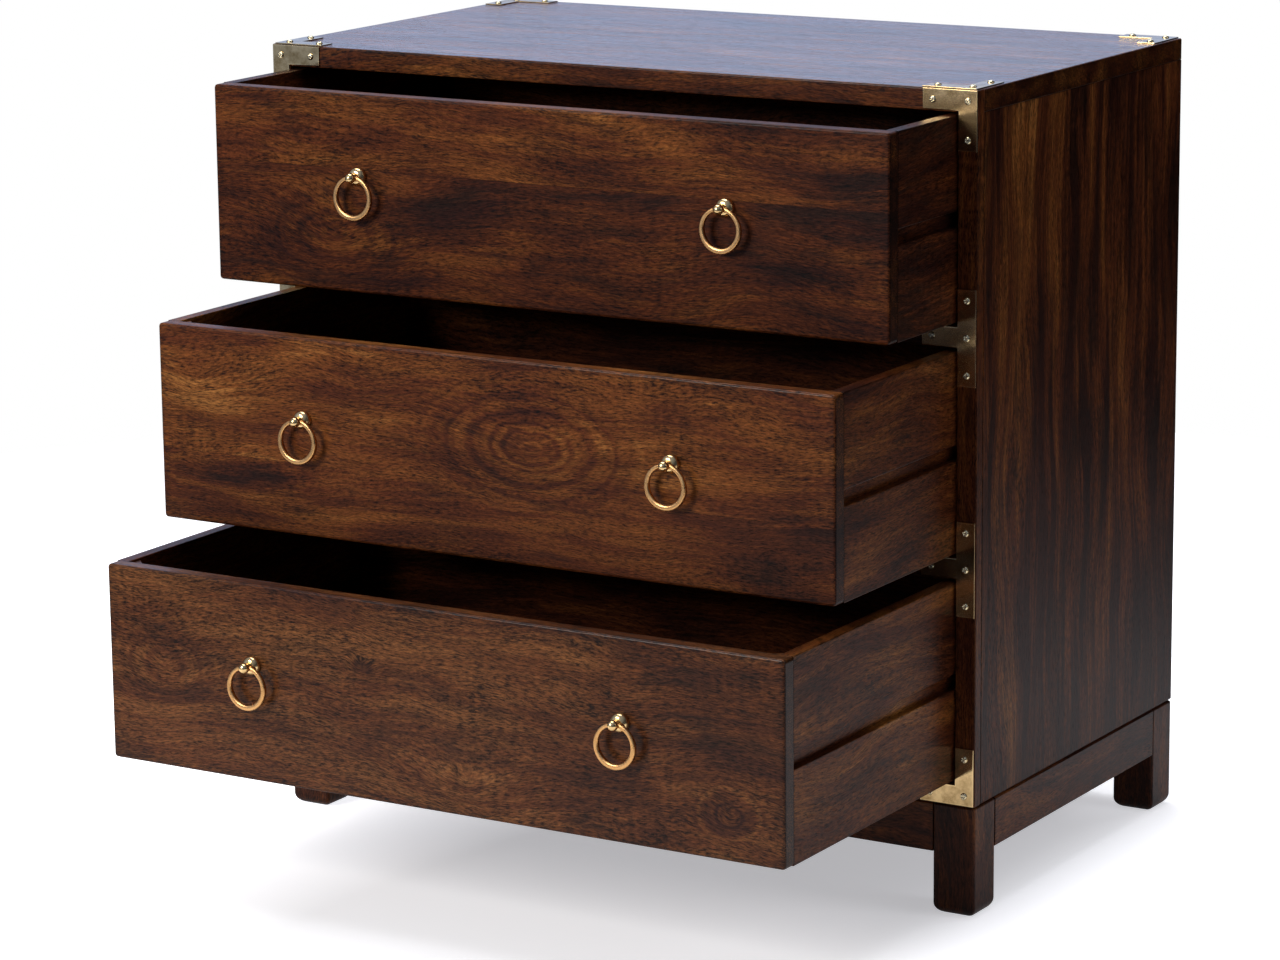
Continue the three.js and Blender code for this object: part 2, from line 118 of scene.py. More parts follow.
class ChestStudio(PropertyGroup):
    key_power: power_setting("Key lamp", "Power of the large lamp at the front left", 140.0)
    top_power: power_setting("Top lamp", "Power of the lamp over the chest", 150.0)
    side_power: power_setting("Side lamp", "Power of the lamp at the right", 32.0)
    fill_light: FloatProperty(name="Fill light", description="Strength of the even light from all round",
                              default=0.11, min=0.0)
    paper_reach: length_setting("Paper reach", "Radius of the white paper under the chest", 2400.0)
    lens: FloatProperty(name="Lens", description="Focal length on a 36 mm frame, in millimetres",
                        default=124.49, min=10.0)


def sizes(name):
    """A chosen size, in millimetres."""
    return getattr(bpy.context.scene.chest_sizes, name) / MM


def colours():
    """The chosen colours as RGBA, by name."""
    group = bpy.context.scene.chest_colours
    return {name: [*getattr(group, name), 1.0] for name in group.__annotations__}


# Meshes

def grid_quads(rows, columns, close_rows=False, close_columns=False):
    """Cell (i, j) of a grid joins points (i, j), (i, j + 1), (i + 1, j + 1) and (i + 1, j); a grid that closes
    on itself takes its indices modulo its rows or columns."""
    i, j = np.meshgrid(np.arange(rows if close_rows else rows - 1),
                       np.arange(columns if close_columns else columns - 1), indexing="ij")
    a, b = (i + 1) % rows, (j + 1) % columns
    return np.stack([i * columns + j, i * columns + b, a * columns + b, a * columns + j], -1).reshape(-1, 4)


def piece(name, shells, material, node, body="carcass"):
    """Joins closed shells of (points, faces, edge) into one object that replaces a CAD node. The attribute edge
    is 1 on a rounded edge and 0 inside a face, and board is a number that differs from shell to shell."""
    points, faces, edges = zip(*shells)
    starts = np.cumsum([0] + [len(group) for group in points])
    faces = [(np.asarray(face) + start).tolist() for group, start in zip(faces, starts) for face in group]
    mesh = bpy.data.meshes.new(name)
    mesh.from_pydata(np.concatenate(points).tolist(), [], faces)
    first, step = sum(map(ord, name)) % 89, 7.0
    boards = [np.full(len(group), first + step * k) for k, group in enumerate(points)]
    for label, values in (("edge", edges), ("board", boards)):
        values = np.concatenate(values).astype(np.float32)
        mesh.attributes.new(label, "FLOAT", "POINT").data.foreach_set("value", values)
    work = bmesh.new()
    work.from_mesh(mesh)
    bmesh.ops.remove_doubles(work, verts=work.verts, dist=1e-7)
    bmesh.ops.recalc_face_normals(work, faces=work.faces)
    for face in work.faces:
        face.smooth = True
    work.to_mesh(mesh)
    work.free()
    mesh.materials.append(material)
    built = bpy.data.objects.new(name, mesh)
    bpy.context.scene.collection.objects.link(built)
    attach(built, body)
    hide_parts(node)
    return built


def inset(corners, distance):
    """Moves each corner p of a closed outline to p - distance (n1 + n2) / (1 + n1 . n2), where n1 and n2 are
    the outward normals of the two edges that meet in it."""
    along = np.roll(corners, -1, 0) - corners
    along /= np.linalg.norm(along, axis=1, keepdims=True)
    after = np.stack([along[:, 1], -along[:, 0]], 1)
    before = np.roll(after, 1, 0)
    return corners - distance * (before + after) / (1 + (before * after).sum(1, keepdims=True))


def soft_outline(corners, radius, fade):
    """Rounds each corner p of a closed outline. Where its edges turn by t at p, with outward normals n1 and n2,
    the arc's middle is m = p - s r (n1 + n2) / (1 + n1 . n2), s the sign of t, and its points are m + s r n,
    n turning from n1 to n2. Each edge gets two more points beside the arc, the second one fade away."""
    after = np.roll(corners, -1, 0) - corners
    after_length = np.linalg.norm(after, axis=1, keepdims=True)
    after = after / after_length
    before, before_length = np.roll(after, 1, 0), np.roll(after_length, 1, 0)
    n1 = np.stack([before[:, 1], -before[:, 0]], 1)
    n2 = np.stack([after[:, 1], -after[:, 0]], 1)
    turn = np.arctan2(before[:, 0] * after[:, 1] - before[:, 1] * after[:, 0], (before * after).sum(1))
    side = np.sign(turn)[:, None]
    middle = corners - side * radius * (n1 + n2) / (1 + (n1 * n2).sum(1, keepdims=True))
    angle = np.arctan2(n1[:, 1], n1[:, 0])[:, None] + turn[:, None] * np.linspace(0, 1, ARC + 1)
    arc = middle[:, None] + side[:, None] * radius * np.stack([np.cos(angle), np.sin(angle)], -1)
    reach = radius * np.tan(np.abs(turn) / 2)[:, None]
    far_before = np.minimum(fade, 0.45 * before_length - reach)
    far_after = np.minimum(fade, 0.45 * after_length - reach)
    points = np.concatenate([
        (corners - before * (reach + far_before))[:, None],
        (corners - before * (reach + np.minimum(NEAR, 0.4 * far_before)))[:, None],
        arc,
        (corners + after * (reach + np.minimum(NEAR, 0.4 * far_after)))[:, None],
        (corners + after * (reach + far_after))[:, None],
    ], 1)
    edge = np.tile([0.0, 0.8] + [1.0] * (ARC + 1) + [0.8, 0.0], (len(corners), 1))
    return points.reshape(-1, 2), edge.reshape(-1)


def tube(outlines, along, axis, edge):
    """Joins closed outlines (a, b), one at each place along an axis, and closes both ends with a face. The
    outlines' points are (y, z) along x, (x, z) along y and (x, y) along z."""
    rows, columns = outlines.shape[:2]
    along = np.broadcast_to(along[:, None], (rows, columns))
    a, b = outlines[..., 0], outlines[..., 1]
    points = np.stack({"x": (along, a, b), "y": (a, along, b), "z": (a, b, along)}[axis], -1)
    end = np.arange(columns)
    faces = [*grid_quads(rows, columns, close_columns=True), end[::-1], end + (rows - 1) * columns]
    return points.reshape(-1, 3), faces, edge.reshape(-1)


def bar(corners, axis, low, high, soft, radius, fade=6.0):
    """Carries an outline along an axis, in millimetres, with both ends rounded by soft. At angle a of the quarter
    round the outline draws in by soft (1 - cos a), at soft (1 - sin a) from its end."""
    corners, radius, fade = np.array(corners, float) * MM, radius * MM, fade * MM
    area = np.sum(corners[:, 0] * np.roll(corners[:, 1], -1) - corners[:, 1] * np.roll(corners[:, 0], -1))
    corners = corners if area > 0 else corners[::-1]
    reach = min(fade, 0.3 * (high - low) * MM)
    angle = np.linspace(math.pi / 2, 0, ARC + 1)
    depths, draws = [], []
    for size in (soft[0] * MM, soft[1] * MM):
        depths.append([0, 0, *(size * (1 - np.sin(angle))), size + min(NEAR, 0.4 * reach), size + reach])
        draws.append([size + fade, size + min(NEAR, 0.4 * fade), *(size * (1 - np.cos(angle))), 0, 0])
    along = np.concatenate([low * MM + np.array(depths[0]), high * MM - np.array(depths[1][::-1])])
    draws = np.array(draws[0] + draws[1][::-1])
    marks = np.array(2 * ([0, 0.8] + [1] * (ARC + 1) + [0.8, 0]))[:, None]
    outlines = [soft_outline(inset(corners, draw), max(radius - draw, 0.02 * MM), fade) for draw in draws]
    edge = np.where(draws[:, None] > 1e-9, marks, np.maximum(marks, outlines[0][1]))
    return tube(np.array([points for points, _ in outlines]), along, axis, edge)


def cad_box(node):
    """A CAD node's low and high corners, in millimetres."""
    low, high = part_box(node)
    return np.array(low) / MM, np.array(high) / MM


def box_corners(low, high, axis):
    """The four corners of a box's outline across an axis."""
    i, j = {"x": (1, 2), "y": (0, 2), "z": (0, 1)}[axis]
    return [(low[i], low[j]), (high[i], low[j]), (high[i], high[j]), (low[i], high[j])]


def plank(node, axis, soft=None, radius=None, fade=6.0):
    """A board that fills a CAD node's box, with its grain along an axis."""
    low, high = cad_box(node)
    edge = sizes("board_edge")
    i = "xyz".index(axis)
    return bar(box_corners(low, high, axis), axis, low[i], high[i], soft or (edge, edge), radius or edge, fade)


def turned(profile, x, z, sides=64):
    """A profile of (r, y) turned about the line along y through (x, z): (x + r cos t, y, z + r sin t).
    All in millimetres; a profile that starts and ends at r = 0 closes itself."""
    profile = np.array(profile, float)
    t = np.linspace(0, 2 * math.pi, sides, endpoint=False)
    r, y = profile[:, :1], profile[:, 1:]
    points = np.stack([x + r * np.cos(t), y + 0 * t, z + r * np.sin(t)], -1) * MM
    faces = list(grid_quads(len(profile), sides, close_columns=True))
    return points.reshape(-1, 3), faces, np.zeros(len(profile) * sides)


# Materials

def add_node(tree, kind, inputs=(), stops=(), **settings):
    """Adds a node of a kind, named without its ShaderNode. Its inputs come in order, or by number or name. Each
    takes a value, or is linked from a socket or from a node's first output. A setting is a property of the
    node, and stops are a ramp's (position, colour) marks."""
    node = tree.nodes.new("ShaderNode" + kind)
    for key, value in settings.items():
        setattr(node, key, value)
    for key, value in inputs.items() if isinstance(inputs, dict) else enumerate(inputs):
        if isinstance(value, bpy.types.Node):
            value = value.outputs[0]
        if isinstance(value, bpy.types.NodeSocket):
            tree.links.new(value, node.inputs[key])
        else:
            node.inputs[key].default_value = value
    for k, (position, colour) in enumerate(stops):
        mark = node.color_ramp.elements[k] if k < 2 else node.color_ramp.elements.new(position)
        mark.position, mark.color = position, colour
    return node


def per_mm(*lengths):
    """How many times a pattern repeats in a millimetre along each axis, from its lengths in millimetres."""
    return tuple(1 / lengths[min(k, len(lengths) - 1)] for k in range(3))


def start_material(name):
    """A new material, add_node for its empty tree, and the object's own coordinates."""
    material = bpy.data.materials.new(name)
    material.use_nodes = True
    material.node_tree.nodes.clear()
    add = partial(add_node, material.node_tree)
    return material, add, add("TexCoord")


def stained_wood(part, order, offset, joins=(), marks=(), tone=0.0, figure=1.0, length=1.0, curl=0.5,
                 lacquer=0.12, relief=0.3, uneven=0.0, fibres=1.0,
                 palette=("heartwood", "body_wood", "light_wood", "gold_wood")):
    """Flat-sawn mango wood, stained walnut, wiped and finished with a thin satin lacquer. The eye sees soft
    golden and red-brown clouds along the grain, short fibres and open pores as fine ticks, dark stain that
    gathers in smudges, at plank joins and along edges, and ripples across the grain where it is curly. order
    names the axes along, across and into a board. joins are (across, change of tone) of the lines where planks
    meet, and marks are knots and smudges: (along, across, half length, half width, rise, change of tone, rings),
    where rise bends the grain round the mark, and rings is the change of tone of growth rings about 8 mm apart
    round it. All lengths are in millimetres."""
    material, add, place = start_material("Stained mango, " + part)
    hues = colours()
    axes = add("SeparateXYZ", [place.outputs["Object"]])
    turned_axes = add("CombineXYZ", [axes.outputs[axis] for axis in order])
    grain = add("Mapping", {"Vector": turned_axes, "Scale": (1 / MM,) * 3, "Location": offset})
    across = add("SeparateXYZ", [grain]).outputs["Y"]

    # Each board and plank takes its own piece of the pattern, and planks meet in a hair line
    board = add("Attribute", attribute_name="board").outputs["Fac"]
    shade, seam, half_seam, plank_step, board_shift = tone, 0.0, 0.35, 5.3, (61.7, 17.3, 29.1)
    for join, change in joins:
        past = add("Math", (across, join), operation="GREATER_THAN")
        board = add("Math", (past, plank_step, board), operation="MULTIPLY_ADD")
        shade = add("Math", (past, change, shade), operation="MULTIPLY_ADD")
        line = add("Math", (across, join, half_seam), operation="COMPARE")
        seam = add("Math", (line, seam), operation="MAXIMUM")
    shift = add("VectorMath", {0: board_shift, "Scale": board}, operation="SCALE")
    spot = add("VectorMath", (grain, shift), operation="ADD")

    # Patterns that lie on the board, by length, place and detail: slow and quick waves that bend the grain,
    # ripples of curly grain about 8 mm apart and the patches they stand in, and broad lighter and darker places
    slow, quick, ripple, patch, mottle = (
        add("TexNoise", {"Scale": 1.0, "Detail": detail, "Vector": add(
            "Mapping", {"Vector": spot, "Scale": per_mm(*lengths), "Location": start})})
        for lengths, start, detail in (
            ((280, 110), (0, 0, 0), 1.0), ((38, 20), (0, 0, 0), 2.0), ((7.5, 60), (0, 0, 0), 1.5),
            ((170, 70), (9, 4, 2), 1.0), ((150, 60), (1.7, 5.2, 0), 2.0)))

    # The grain wanders across the board, by some 12 mm either way in slow waves and 1 mm in quick ones, and
    # round the marks, whose outlines waver by 3 mm
    drift = add("Math", (slow, 60.0, 0.0), operation="MULTIPLY_ADD")
    drift = add("Math", (quick, 5.5, drift), operation="MULTIPLY_ADD")
    wavy = add("Math", (quick, 16.0, -8.0), operation="MULTIPLY_ADD")
    wavy = add("VectorMath", (grain, add("CombineXYZ", {1: wavy})), operation="ADD")
    ring_gap = 8.0
    for along_at, across_at, half_length, half_width, rise, change, rings in marks:
        near = add("Mapping", {"Vector": wavy, "Location": (along_at, across_at, 0),
                               "Scale": (half_length, half_width, 1e6)}, vector_type="TEXTURE")
        near = add("TexGradient", [near], gradient_type="SPHERICAL").outputs["Fac"]
        hill = add("Math", (near, 1.4), operation="POWER")
        if rings:
            turns = add("Math", (near, half_width / ring_gap), operation="MULTIPLY")
            eye = add("TexNoise", {"W": turns, "Scale": 1.0, "Detail": 1.5}, noise_dimensions="1D")
            eye = add("MapRange", (eye, 0.35, 0.65, -rings, rings))
            gate = add("MapRange", (near, 0.0, 0.35))
            shade = add("Math", (eye, gate, shade), operation="MULTIPLY_ADD")
        drift = add("Math", (hill, rise, drift), operation="MULTIPLY_ADD")
        shade = add("Math", (hill, change, shade), operation="MULTIPLY_ADD")
    flow = add("VectorMath", (spot, add("CombineXYZ", {1: drift})), operation="ADD")

    # Patterns that follow the bent grain, by length, place, detail and roughness: clouds, streaks, smudges of
    # stain, fibres, pores and the slow pattern whose contours are growth lines. Fibres are 0.1 mm wide and pores
    # 0.3 mm; they are drawn 1.4 and 1.1 mm wide, so that they show
    cloud, streak, smudge, fibre, pore, growth = (
        add("TexNoise", {"Scale": 1.0, "Detail": detail, "Roughness": roughness, "Vector": add(
            "Mapping", {"Vector": flow, "Scale": per_mm(*lengths), "Location": start})})
        for lengths, start, detail, roughness in (
            ((170 * length, 34), (0, 0, 0), 2.5, 0.5), ((85 * length, 4.2), (0, 0, 0), 3.0, 0.6),
            ((100, 26), (3.7, 8.1, 0), 5.0, 0.65), ((8.0, 1.4), (0, 0, 0), 2.0, 0.75),
            ((9.0, 1.1), (0, 0, 0), 0.0, 0.5), ((420, 36, 60), (0, 0, 0), 1.5, 0.5)))

    # Clouds and streaks give the tone
    mixed = add("Math", (cloud, 1.4 * figure, shade), operation="MULTIPLY_ADD")
    mixed = add("Math", (streak, 0.75 * figure, mixed), operation="MULTIPLY_ADD")
    mixed = add("Math", (mixed, 1.075 * figure - 0.5), operation="SUBTRACT")
    colour = add("ValToRGB", [mixed], zip((0.12, 0.42, 0.72, 1.0), [hues[wood] for wood in palette]))

    # Stain gathers in smudges, feathered by the streaks, and turns the wood nearly black
    for source in (streak, shade):
        smudge = add("Math", (source, -0.35, smudge), operation="MULTIPLY_ADD")
    smudge = add("MapRange", (smudge, 0.37, 0.56, 0.0, 0.62))
    colour = add("Mix", {0: smudge, 6: colour, 7: hues["stain"]}, data_type="RGBA").outputs[2]

    # Growth lines are about 10 mm apart, in long loops along the grain
    growth = add("Math", (growth, 9.0), operation="MULTIPLY")
    growth = add("Math", [growth], operation="FRACT")
    growth = add("Math", (growth, 0.5, 0.09), operation="COMPARE")
    patch = add("MapRange", (patch, 0.45, 0.66, 0.0, curl))
    ripple = add("Math", (ripple, 0.5), operation="SUBTRACT")
    ripple = add("Math", (ripple, patch), operation="MULTIPLY")
    pore = add("MapRange", (pore, 0.56, 0.7))

    # End grain drinks more stain, and so do edges
    edge = add("Attribute", attribute_name="edge").outputs["Fac"]
    facing = add("SeparateXYZ", [place.outputs["Normal"]]).outputs[order[0]]
    end_grain = add("Math", [facing], operation="ABSOLUTE")
    end_grain = add("MapRange", (end_grain, 0.6, 0.95))
    level = add("Math", (fibre, 4.2 * fibres, 0.6 - 2.1 * fibres), operation="MULTIPLY_ADD")
    for source, weight in ((mottle, 1.0), (ripple, 2.2), (pore, -0.34), (growth, -0.22), (seam, -0.4),
                           (edge, -0.25), (end_grain, -0.5)):
        level = add("Math", (source, weight, level), operation="MULTIPLY_ADD")
    level = add("Math", (level, 0.12), operation="MAXIMUM")
    tint = add("VectorMath", {0: colour, "Scale": level}, operation="SCALE")

    # A heavy lacquer is uneven too, in waves about 34 and 20 mm across the board
    rough = add("Math", (fibre, 0.2, 0.26), operation="MULTIPLY_ADD")
    rough = add("Math", (pore, 0.12, rough), operation="MULTIPLY_ADD")
    height = fibre
    for source, weight in ((pore, -0.7), (streak, 0.8), (cloud, 0.6 * uneven), (quick, uneven)):
        height = add("Math", (source, weight, height), operation="MULTIPLY_ADD")
    bump = add("Bump", {"Height": height, "Strength": 1.0, "Distance": 0.12 * relief * MM})
    shader = add("BsdfPrincipled", {
        "Base Color": tint, "Roughness": rough, "Normal": bump, "Coat Normal": bump, "IOR": 1.5,
        "Specular IOR Level": 0.08, "Coat Weight": lacquer, "Coat Roughness": 0.18})
    add("OutputMaterial", {"Surface": shader})
    return material


def aged_sheet_brass():
    """Rolled sheet brass, brushed and left to age. The eye sees a sheet that isn't quite flat, fine brush
    lines, a dull olive film with worn bright specks, and a brighter worn rim."""
    material, add, place = start_material("Aged sheet brass")
    hues = colours()
    spot = add("Mapping", {"Vector": place.outputs["Object"], "Scale": (1 / MM,) * 3})
    # Patterns by length, place, detail and roughness: film, specks, worn places, brush lines and the sheet's
    # waves. Brush lines are 0.05 mm apart; they are drawn 0.6 mm apart
    film, speck, worn, brush, wave = (
        add("TexNoise", {"Scale": 1.0, "Detail": detail, "Roughness": roughness, "Vector": add(
            "Mapping", {"Vector": spot, "Scale": per_mm(*lengths), "Location": start})})
        for lengths, start, detail, roughness in (
            ([16], (0, 0, 0), 5.0, 0.65), ([1.7], (0, 0, 0), 2.0, 0.5), ([120], (3, 1, 7), 1.0, 0.5),
            ((22, 22, 0.6), (0, 0, 0), 2.0, 0.5), ([30], (0, 0, 0), 0.0, 0.5)))
    speck = add("MapRange", (speck, 0.5, 0.62))
    worn = add("MapRange", (worn, 0.46, 0.56))
    speck = add("Math", (speck, worn), operation="MULTIPLY")
    edge = add("Attribute", attribute_name="edge").outputs["Fac"]
    dull = add("MapRange", (film, 0.38, 0.66, 0.1, 0.9))
    for source, weight in ((edge, -0.5), (speck, -0.35)):
        dull = add("Math", (source, weight, dull), operation="MULTIPLY_ADD", use_clamp=True)
    colour = add("Mix", {0: dull, 6: hues["aged_brass"], 7: hues["tarnish"]}, data_type="RGBA").outputs[2]
    rough = 0.06
    for source, weight in ((dull, 0.07), (brush, 0.06), (worn, 0.12)):
        rough = add("Math", (source, weight, rough), operation="MULTIPLY_ADD")
    height = add("Math", (speck, 0.25, brush), operation="MULTIPLY_ADD")
    fine = add("Bump", {"Height": height, "Strength": 0.3, "Distance": 0.05 * MM})
    bump = add("Bump", {"Height": wave, "Strength": 0.5, "Distance": 0.8 * MM, "Normal": fine})
    shader = add("BsdfPrincipled", {"Base Color": colour, "Metallic": 1.0, "Roughness": rough, "Normal": bump})
    add("OutputMaterial", {"Surface": shader})
    return material


def polished_turned_brass(name, hue, dullness=0.0):
    """Cast and turned brass, buffed and lacquered. The eye sees clear reflections, with faint hairlines and a
    slightly duller tone in soft patches about 5 mm wide. hue names the chosen colour."""
    material, add, place = start_material(name)
    bright = colours()[hue]
    dark = [0.95 * bright[0], 0.91 * bright[1], 0.85 * bright[2], 1.0]
    spot = add("Mapping", {"Vector": place.outputs["Object"], "Scale": (1 / MM,) * 3})
    patch = add("TexNoise", {"Vector": spot, "Scale": 1 / 5, "Detail": 3.0})
    # Hairlines are 0.02 mm wide; they are drawn 0.45 mm wide
    hair = add("TexNoise", {"Vector": spot, "Scale": 2.2, "Detail": 2.0})
    colour = add("ValToRGB", [patch], ((0.3, dark), (0.62, bright)))
    rough = add("MapRange", (patch, 0.35, 0.7, 0.14 + dullness, 0.19 + dullness))
    bump = add("Bump", {"Height": hair, "Strength": 0.03, "Distance": 0.05 * MM})
    shader = add("BsdfPrincipled", {"Base Color": colour, "Metallic": 1.0, "Roughness": rough, "Normal": bump})
    add("OutputMaterial", {"Surface": shader})
    return material


def studio_paper():
    """Matt white paper, lit near the chest and greyer far from it. Part of its white is given out to the camera
    and to reflections alone, so that the paper runs into a white background. That part is small in an elliptical
    pool under and in front of the chest and full outside it: a painted shadow, in which the real shadow shows,
    while outside it the given-out white hides the real shadow. To the right of the chest it also rises to full, as
    painted light over the key lamp's real shadow there."""
    material, add, place = start_material("White paper")
    spot = place.outputs["Object"]
    # The white given out inside the painted shadow, and outside it
    painted_shadow_level, full = 0.455, 1.03
    distance = add("VectorMath", [spot], operation="LENGTH").outputs["Value"]
    far = add("MapRange", (distance, 1.0, 2.3), interpolation_type="SMOOTHSTEP")
    colour = add("Mix", {0: far, 6: linear("#f0f1f4"), 7: linear("#9a9a9e")}, data_type="RGBA").outputs[2]
    paper = add("BsdfPrincipled", {"Base Color": colour, "Roughness": 0.9, "Specular IOR Level": 0.2})
    # Painted shadow: the white given out is low in an elliptical pool under and in front of the chest, so the real
    # shadow shows there, and full outside it, where it hides the real shadow
    near = add("Mapping", {"Vector": spot, "Location": (0.2, -0.45, 0), "Scale": (0.414, 0.916, 1)},
               vector_type="TEXTURE")
    near = add("VectorMath", [near], operation="LENGTH").outputs["Value"]
    painted_shadow_pool = add("MapRange", (near, 0.93, 1.69, painted_shadow_level, full))
    # Painted light: to the right of the chest the white given out rises to full, and hides the key lamp's real
    # shadow there
    right = add("SeparateXYZ", [spot]).outputs["X"]
    right = add("MapRange", (right, 0.371, 0.58, painted_shadow_level, full), interpolation_type="SMOOTHSTEP")
    strength = add("Math", (painted_shadow_pool, right), operation="MAXIMUM")
    # The chest's metal and lacquer see less of it, and none from far off
    ray = add("LightPath")
    seen = add("Math", (ray.outputs["Is Glossy Ray"], ray.outputs["Is Transmission Ray"]), operation="MAXIMUM")
    mirrored = add("MapRange", (distance, 0.8, 1.9, 0.36, 0.0), interpolation_type="SMOOTHSTEP")
    seen = add("Math", (seen, mirrored), operation="MULTIPLY")
    seen = add("Math", (ray.outputs["Is Camera Ray"], seen), operation="MAXIMUM")
    strength = add("Math", (strength, seen), operation="MULTIPLY")
    # The white given out is faintly blue, which tints the painted shadow
    glow = add("Emission", {"Color": linear("#fafaff"), "Strength": strength})
    add("OutputMaterial", {"Surface": add("AddShader", (paper, glow))})
    return material


# Operators

class CHEST_OT_carcass(Operator):
    """Boards, stiles, dividers and runners of the carcass"""
    bl_idname = "chest.carcass"
    bl_label = "Carcass"

    def execute(self, context):
        lengthwise = stained_wood("top", "XYZ", (120, 0, 55), lacquer=1.0, relief=3.0, uneven=9.0,
                                  joins=((-250, 0.05), (-70, -0.04), (130, 0.06), (300, -0.05)))
        board_edges = stained_wood("board edges", "XZY", (120, 55, 0))
        # The side panels are 0.18 darker than the base tone: partly the wood's own tone, partly painted shade for
        # the chest's sides, which lie out of the key lamp's light
        upright = stained_wood("sides", "ZYX", (75, 0, 20), tone=-0.18, figure=1.5, length=2.2, curl=0.2,
                               lacquer=0.02, joins=((-220, -0.06), (-30, 0.1), (160, -0.05)))
        rails = stained_wood("rails", "XZY", (510, 90, 300), tone=-0.04)
        posts = stained_wood("stiles", "ZXY", (33, 47, 210), tone=-0.03, lacquer=0.05)
        edge, groove = sizes("board_edge"), sizes("base_groove")

        # The top and bottom boards have notches for the stiles
        stile_low, stile_high = cad_box("right_stile")
        notch_x, notch_y = stile_low[0] - GAP, stile_high[1] + GAP
        for name, node, wood, soft, radius in (("chest_top", "top_board", lengthwise, (0.6, 2.0), 1.5),
                                               ("chest_floor", "bottom_board", board_edges, (groove, edge), edge)):
            low, high = cad_box(node)
            right = [(notch_x, low[1]), (notch_x, notch_y), (high[0], notch_y), (high[0], high[1])]
            outline = right + [(-x, y) for x, y in reversed(right)]
            board = piece(name, [bar(outline, "z", low[2], high[2], soft, radius)], wood, node)
            if node == "top_board":  # every face but its upper one is in the other wood
                board.data.materials.append(board_edges)
                facing = np.empty(3 * len(board.data.polygons), np.float32)
                board.data.polygons.foreach_get("normal", facing)
                board.data.polygons.foreach_set("material_index", (facing[2::3] < 0.95).astype(np.int32))

        for place, side in SIDES:
            low, high = cad_box(f"{place}_side_panel")
            outer, inner = (low[0], high[0]) if side < 0 else (high[0], low[0])
            outline = [(inner, low[2]), (outer - side * groove, low[2]), (outer, low[2] + groove),
                       (outer, high[2]), (inner, high[2])]
            panel = bar(outline, "y", low[1], high[1], soft=(0.5, edge), radius=0.5)
            piece(f"{place}_side", [panel], upright, f"{place}_side_panel")
            post = plank(f"{place}_stile", "z", soft=(groove, edge), radius=edge, fade=4.0)
            piece(f"{place}_front_stile", [post], posts, f"{place}_stile")
        piece("chest_back", [plank("back_panel", "x", fade=3.0)], rails, "back_panel")
        for name in ("upper", "lower"):
            piece(f"{name}_rail", [plank(f"{name}_divider", "x", fade=4.0)], rails, f"{name}_divider")
        for drawer in DRAWERS:
            for place, _ in SIDES:
                runner = plank(f"{drawer}_{place}_runner", "y", soft=(1.0, 1.0), radius=0.8, fade=3.0)
                piece(f"{drawer}_{place}_slip", [runner], rails, f"{drawer}_{place}_runner")
        return {"FINISHED"}


class CHEST_OT_base(Operator):
    """Four square legs with rounded feet, and the rails between them"""
    bl_idname = "chest.base"
    bl_label = "Base"

    def leg(self, node):
        """A rounded square whose half side at height z over the floor is h - r + sqrt(r r - (r - z)(r - z)) in
        the foot of rounding r, and draws in by the groove's chamfer at the top."""
        low, high = cad_box(node)
        middle, half, top = (low + high)[:2] / 2, (high - low)[0] / 2, high[2]
        foot, groove = sizes("foot_round"), sizes("base_groove")
        turn = np.linspace(0, math.pi / 2, 9)
        corner, near, far = 3.0, 1.0, 6.0
        height = np.array([0, 0, *(foot * (1 - np.cos(turn))), foot + near, top - groove - near, top - groove,
                           top, top, top])
        size = np.array([half - foot - far, half - foot - near, *(half - foot * (1 - np.sin(turn))), half, half,
                         half, half - groove, half - groove - near, half - groove - far])
        square = np.array([(-1, -1), (1, -1), (1, 1), (-1, 1)], float)
        rings = [soft_outline(square * s * MM, min(corner, 0.3 * s) * MM, far * MM) for s in size]
        worn = np.array([0.6, 0.9] + [1.0] * len(turn) + [0.3, 0.3, 1.0, 1.0, 0.8, 0.0])[:, None]
        return tube(np.array([points for points, _ in rings]) + middle * MM, height * MM, "z",
                    np.maximum(rings[0][1] * 0.8, worn))

    def execute(self, context):
        posts = stained_wood("legs", "ZXY", (410, 77, 10), tone=-0.1, curl=0.2, lacquer=0.05)
        rails = stained_wood("base rails", "XZY", (44, 190, 71), tone=-0.08, lacquer=0.05)
        side_rails = stained_wood("side rails", "YZX", (210, 15, 33), tone=-0.08, lacquer=0.05)
        groove = sizes("base_groove")
        for end in ("front", "back"):
            for place, _ in SIDES:
                node = f"{end}_{place}_leg"
                piece(f"{end}_{place}_post", [self.leg(node)], posts, node)
        for place, axis, out, wood in (("front", "x", -1, rails), ("back", "x", 1, rails),
                                       ("left", "y", -1, side_rails), ("right", "y", 1, side_rails)):
            node = f"{place}_base_rail"
            low, high = cad_box(node)
            k, i = (0, 1) if axis == "x" else (1, 0)
            outer, inner = (low[i], high[i]) if out < 0 else (high[i], low[i])
            outline = [(outer, low[2]), (inner, low[2]), (inner, high[2]), (outer - out * groove, high[2]),
                       (outer, high[2] - groove)]
            rail = bar(outline, axis, low[k], high[k], soft=(0.3, 0.3), radius=0.8, fade=5.0)
            piece(f"{place}_rail_of_base", [rail], wood, node)
        return {"FINISHED"}


